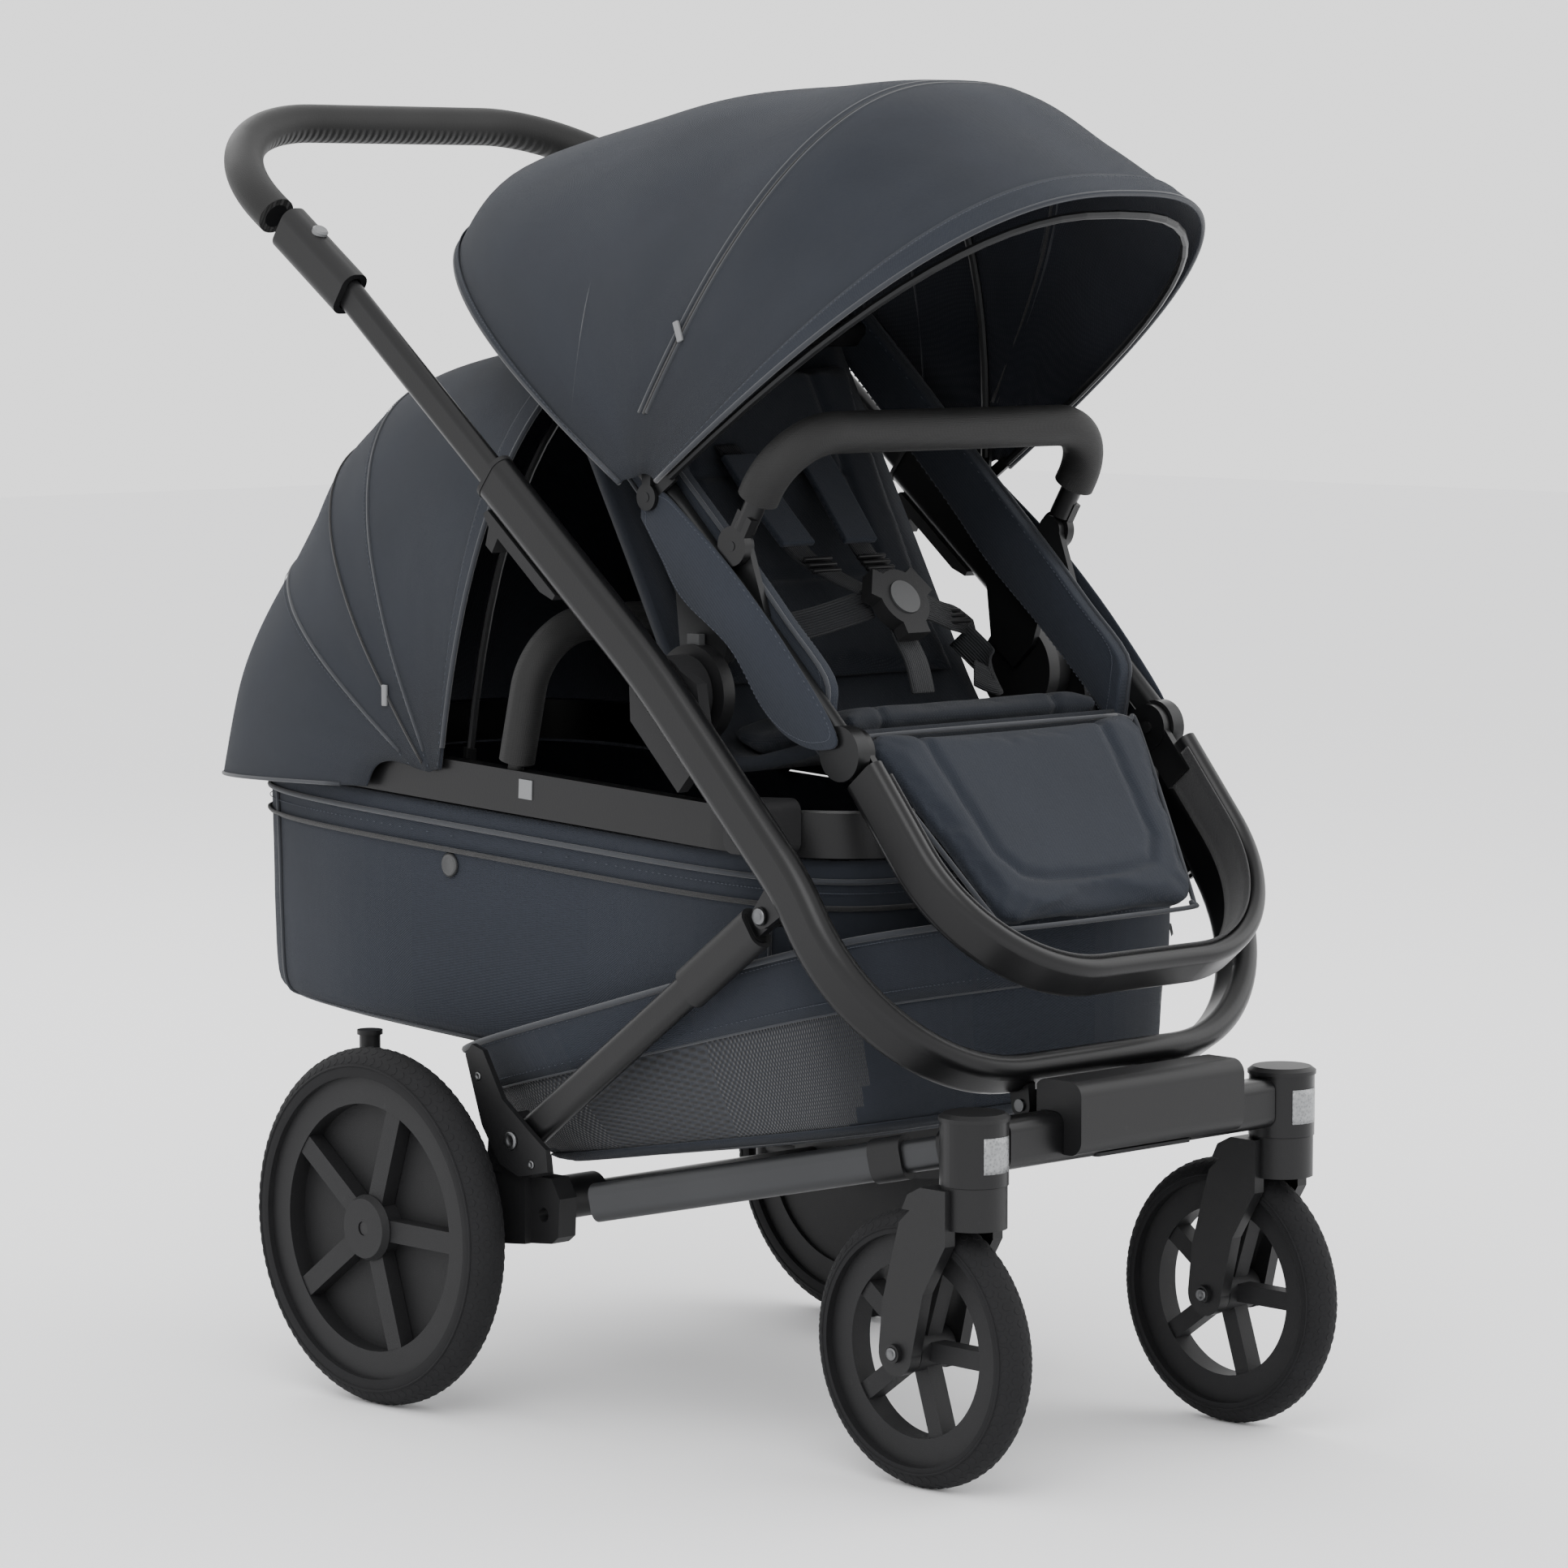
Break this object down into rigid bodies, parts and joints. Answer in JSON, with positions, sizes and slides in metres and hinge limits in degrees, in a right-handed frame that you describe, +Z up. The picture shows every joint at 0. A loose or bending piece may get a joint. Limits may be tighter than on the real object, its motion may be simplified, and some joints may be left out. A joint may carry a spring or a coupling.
{
  "type": "tandem stroller",
  "caption": "Folding tandem stroller frame with a reclining upper seat, a lower carrycot, two canopies, swivelling front wheels and a basket.",
  "frame": {"origin": "on the floor, under the centre of the outline", "axes": "-Y is the front, +X the stroller's left side, +Z up"},
  "size_m": [0.598, 1.006, 1.098],
  "materials": {
    "frame_black": "satin black powder coat",
    "tube_grey": "satin grey anodised",
    "plastic_black": "fine matt moulded black",
    "plastic_grey": "satin light grey moulded",
    "steel": "zinc plated",
    "tyre": "matt black foam rubber with small knobs",
    "grip_leather": "black grained leatherette",
    "bar_black": "satin black",
    "seat_fabric": "dark slate heathered weave",
    "cot_fabric": "dark slate weave",
    "webbing": "black woven webbing"
  },
  "bodies": {
    "chassis": {"bridge_beam": "plastic_black", "bridge_cover": "plastic_black", "bridge_lid": "plastic_black", "lower_tubes": "tube_grey", "tube_sleeves": "plastic_black", "basket": "cot_fabric"},
    "rear_legs": {"rear_axle": "frame_black", "axle_blocks": "plastic_black", "rear_guards": "plastic_black"},
    "brake": {"brake_pedal": "plastic_black"},
    "main_frame": {"main_tube": "frame_black", "tube_collars": "plastic_black", "seat_adapters": "plastic_black", "cot_adapters": "plastic_black", "frame_pins": "steel"},
    "struts": {"struts": "frame_black", "strut_sleeves": "plastic_black"},
    "handle": {"handle_tubes": "frame_black", "handle_housings": "plastic_black", "handle_grip": "grip_leather"},
    "seat": {"seat_frame": "frame_black", "seat_hubs": "plastic_black", "seat_shell": "seat_fabric", "seat_pad": "seat_fabric", "harness": "webbing", "buckle": "plastic_black", "canopy_fabric": "seat_fabric"},
    "buckle_button": {"buckle_button": "plastic_grey"},
    "bumper": {"bumper_bar": "bar_black", "bumper_grip": "grip_leather"},
    "calf_rest": {"calf_frame": "frame_black", "calf_pad": "seat_fabric"},
    "canopy_middle": {"canopy_middle_bow": "plastic_black"},
    "canopy_front": {"canopy_front_bow": "plastic_black"},
    "cot": {"cot_ring": "plastic_black", "cot_body": "cot_fabric", "cot_mattress": "cot_fabric", "cot_canopy": "seat_fabric"},
    "cot_canopy_bow": {"cot_canopy_bow": "plastic_black"},
    "cot_bar": {"cot_bar": "grip_leather"},
    "handle_button_left": {"handle_button_left": "plastic_grey"},
    "fold_hook_left": {"fold_hook_left": "plastic_black"},
    "rear_wheel_left": {"rear_rim_left": "plastic_black", "rear_tyre_left": "tyre"},
    "fork_left": {"fork_left": "plastic_black"},
    "front_wheel_left": {"front_rim_left": "plastic_black", "front_tyre_left": "tyre"},
    "swivel_lock_left": {"swivel_lock_left": "plastic_black"},
    "hub_button_left": {"hub_button_left": "plastic_black"},
    "cot_latch_left": {"cot_latch_left": "plastic_grey"},
    "handle_button_right": {"handle_button_right": "plastic_grey"},
    "fold_hook_right": {"fold_hook_right": "plastic_black"},
    "rear_wheel_right": {"rear_rim_right": "plastic_black", "rear_tyre_right": "tyre"},
    "fork_right": {"fork_right": "plastic_black"},
    "front_wheel_right": {"front_rim_right": "plastic_black", "front_tyre_right": "tyre"},
    "swivel_lock_right": {"swivel_lock_right": "plastic_black"},
    "hub_button_right": {"hub_button_right": "plastic_black"},
    "cot_latch_right": {"cot_latch_right": "plastic_grey"}
  },
  "joints": [
    {"name": "frame_fold", "type": "hinge", "parent": "chassis", "child": "main_frame", "pos_m": [0, -0.404, 0.292], "axis": [-1, 0, 0], "range_deg": [0, 8], "deforming": ["basket"]},
    {"name": "leg_fold", "type": "hinge", "parent": "chassis", "child": "rear_legs", "pos_m": [0, -0.016, 0.175], "axis": [-1, 0, 0], "range_deg": [0, 25]},
    {"name": "strut_fold", "type": "hinge", "parent": "main_frame", "child": "struts", "pos_m": [0, -0.282, 0.445], "axis": [1, 0, 0], "range_deg": [0, 12]},
    {"name": "handle_slide", "type": "slide", "parent": "main_frame", "child": "handle", "axis": [0, -0.7808, -0.6247], "range_m": [0, 0.12]},
    {"name": "handle_button_left_press", "type": "slide", "parent": "handle", "child": "handle_button_left", "axis": [0, 0.5687, -0.8226], "range_m": [0, 0.002], "stiffness_N_per_m": 400},
    {"name": "fold_hook_left_pull", "type": "slide", "parent": "main_frame", "child": "fold_hook_left", "axis": [0, 0.7808, 0.6247], "range_m": [0, 0.01], "stiffness_N_per_m": 400},
    {"name": "rear_wheel_left_spin", "type": "hinge", "parent": "rear_legs", "child": "rear_wheel_left", "pos_m": [0.281, 0.146, 0.15], "axis": [1, 0, 0], "continuous": true},
    {"name": "caster_left_swivel", "type": "hinge", "parent": "chassis", "child": "fork_left", "pos_m": [0.179, -0.448, 0.262], "axis": [0, 0, 1], "continuous": true},
    {"name": "front_wheel_left_spin", "type": "hinge", "parent": "fork_left", "child": "front_wheel_left", "pos_m": [0.179, -0.394, 0.11], "axis": [1, 0, 0], "continuous": true},
    {"name": "swivel_lock_left_press", "type": "slide", "parent": "chassis", "child": "swivel_lock_left", "axis": [0, 0, -1], "range_m": [0, 0.004]},
    {"name": "hub_button_left_press", "type": "slide", "parent": "seat", "child": "hub_button_left", "axis": [0, 0, -1], "range_m": [0, 0.004], "stiffness_N_per_m": 400},
    {"name": "cot_latch_left_press", "type": "slide", "parent": "cot", "child": "cot_latch_left", "axis": [-1, 0, 0], "range_m": [0, 0.003], "stiffness_N_per_m": 400},
    {"name": "handle_button_right_press", "type": "slide", "parent": "handle", "child": "handle_button_right", "axis": [0, 0.5687, -0.8226], "range_m": [0, 0.002], "stiffness_N_per_m": 400},
    {"name": "fold_hook_right_pull", "type": "slide", "parent": "main_frame", "child": "fold_hook_right", "axis": [0, 0.7808, 0.6247], "range_m": [0, 0.01], "stiffness_N_per_m": 400},
    {"name": "rear_wheel_right_spin", "type": "hinge", "parent": "rear_legs", "child": "rear_wheel_right", "pos_m": [-0.281, 0.146, 0.15], "axis": [1, 0, 0], "continuous": true},
    {"name": "caster_right_swivel", "type": "hinge", "parent": "chassis", "child": "fork_right", "pos_m": [-0.179, -0.448, 0.262], "axis": [0, 0, 1], "continuous": true},
    {"name": "front_wheel_right_spin", "type": "hinge", "parent": "fork_right", "child": "front_wheel_right", "pos_m": [-0.179, -0.394, 0.11], "axis": [1, 0, 0], "continuous": true},
    {"name": "swivel_lock_right_press", "type": "slide", "parent": "chassis", "child": "swivel_lock_right", "axis": [0, 0, -1], "range_m": [0, 0.004]},
    {"name": "hub_button_right_press", "type": "slide", "parent": "seat", "child": "hub_button_right", "axis": [0, 0, -1], "range_m": [0, 0.004], "stiffness_N_per_m": 400},
    {"name": "cot_latch_right_press", "type": "slide", "parent": "cot", "child": "cot_latch_right", "axis": [1, 0, 0], "range_m": [0, 0.003], "stiffness_N_per_m": 400},
    {"name": "brake_press", "type": "hinge", "parent": "rear_legs", "child": "brake", "pos_m": [-0.07, 0.146, 0.15], "axis": [-1, 0, 0], "range_deg": [0, 20]},
    {"name": "seat_recline", "type": "hinge", "parent": "main_frame", "child": "seat", "pos_m": [0, -0.143, 0.608], "axis": [-1, 0, 0], "range_deg": [-4, 3]},
    {"name": "buckle_press", "type": "slide", "parent": "seat", "child": "buckle_button", "axis": [0, 0.848, -0.53], "range_m": [0, 0.002], "stiffness_N_per_m": 400},
    {"name": "bumper_swing", "type": "hinge", "parent": "seat", "child": "bumper", "pos_m": [0.185, -0.187, 0.728], "axis": [1, 0, 0], "range_deg": [0, 60]},
    {"name": "calf_rest_tilt", "type": "hinge", "parent": "seat", "child": "calf_rest", "pos_m": [0.17, -0.308, 0.57], "axis": [-1, 0, 0], "range_deg": [0, 35]},
    {"name": "canopy_front_fold", "type": "hinge", "parent": "seat", "child": "canopy_front", "pos_m": [0.191, -0.094, 0.764], "axis": [-1, 0, 0], "range_deg": [0, 50], "deforming": ["canopy_fabric"]},
    {"name": "canopy_middle_fold", "type": "hinge", "parent": "seat", "child": "canopy_middle", "pos_m": [0.195, -0.094, 0.764], "axis": [-1, 0, 0], "range_deg": [0, 30], "deforming": ["canopy_fabric"]},
    {"name": "cot_lift", "type": "slide", "parent": "main_frame", "child": "cot", "axis": [0, 0, 1], "range_m": [0, 0.02]},
    {"name": "cot_canopy_fold", "type": "hinge", "parent": "cot", "child": "cot_canopy_bow", "pos_m": [0.184, 0.144, 0.512], "axis": [-1, 0, 0], "range_deg": [0, 60], "deforming": ["cot_canopy"]},
    {"name": "cot_bar_lift", "type": "slide", "parent": "cot", "child": "cot_bar", "axis": [0, -0.2385, 0.9711], "range_m": [0, 0.03]}
  ],
  "couplings": [
    {"joint": "leg_fold", "follows": "frame_fold", "ratio": 3.01},
    {"joint": "strut_fold", "follows": "frame_fold", "ratio": 1.08},
    {"joint": "canopy_middle_fold", "follows": "canopy_front_fold", "ratio": 0.42}
  ]
}
